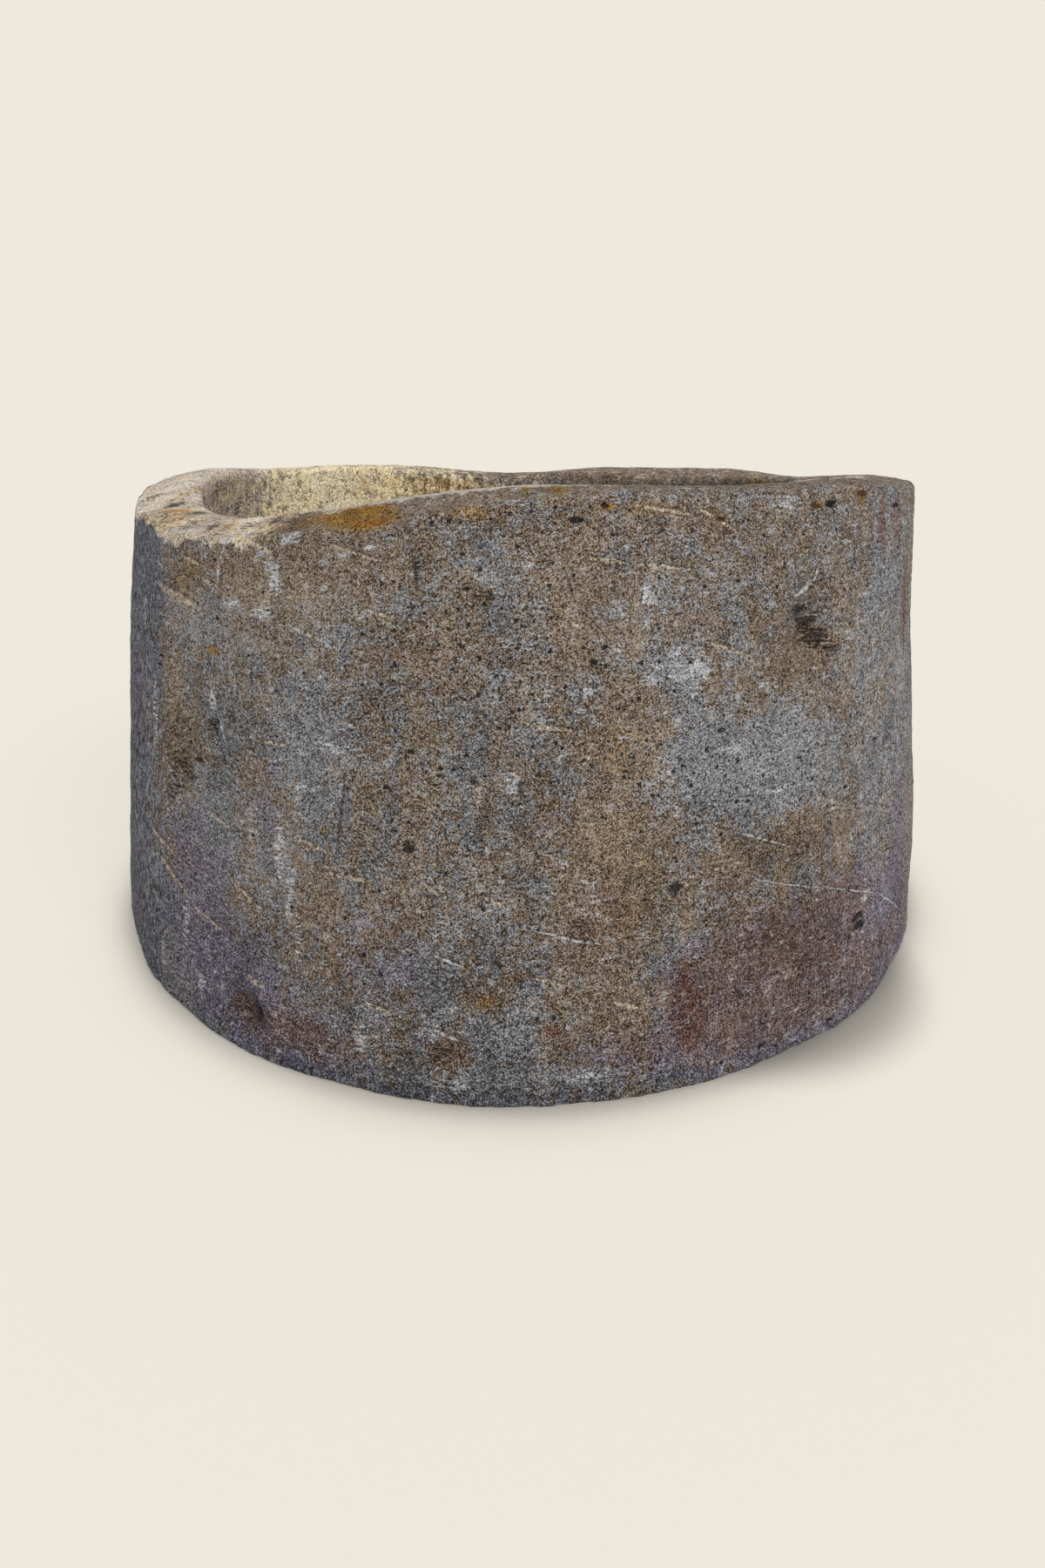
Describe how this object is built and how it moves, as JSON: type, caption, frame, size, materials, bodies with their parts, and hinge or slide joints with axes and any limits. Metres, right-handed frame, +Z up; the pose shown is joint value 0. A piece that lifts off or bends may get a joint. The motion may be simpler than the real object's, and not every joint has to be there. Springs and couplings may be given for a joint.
{
  "type": "stone planter",
  "caption": "Round planter carved from one block of stone, with near-upright walls, a rim worn low on one side, a deep bowl, and a drain closed by a rubber bung.",
  "frame": {"origin": "middle of the foot, on the surface that the planter stands on, and on the drain's axis", "axes": "+Z up, -Y the front, which the worn side of the rim meets at its left, +X right as the front is seen"},
  "size_m": [0.607, 0.6088, 0.314],
  "materials": {
    "stone": "weathered, matt, grainy",
    "bung_rubber": "matt"
  },
  "bodies": {
    "vessel": {"stone_vessel": "stone"},
    "bung": {"drain_bung": "bung_rubber"}
  },
  "joints": [
    {"name": "bung_lift", "type": "slide", "parent": "vessel", "child": "bung", "axis": [0, 0, 1], "range_m": [0, 0.27]}
  ]
}
